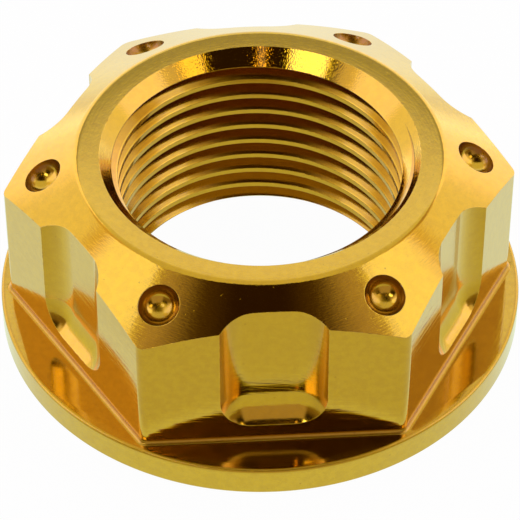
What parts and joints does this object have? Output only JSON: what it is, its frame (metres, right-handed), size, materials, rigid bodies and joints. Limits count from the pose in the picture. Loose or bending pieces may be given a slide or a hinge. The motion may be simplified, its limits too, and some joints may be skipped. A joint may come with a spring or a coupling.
{
  "type": "axle nut",
  "caption": "Flanged hexagon axle nut with a fine internal thread, a coned top, a milled pocket in each flat and a round dimple at each corner.",
  "frame": {"origin": "centre of the flange's seat face, on the thread's axis", "axes": "+Z along the thread, from the seat to the countersunk mouth; two flats face +Y and -Y, corners on +X and -X"},
  "size_m": [0.0382, 0.0382, 0.0149],
  "materials": {
    "gold_metal": "polished, gold anodised"
  },
  "bodies": {
    "root": {"axle_nut": "gold_metal"}
  },
  "joints": []
}
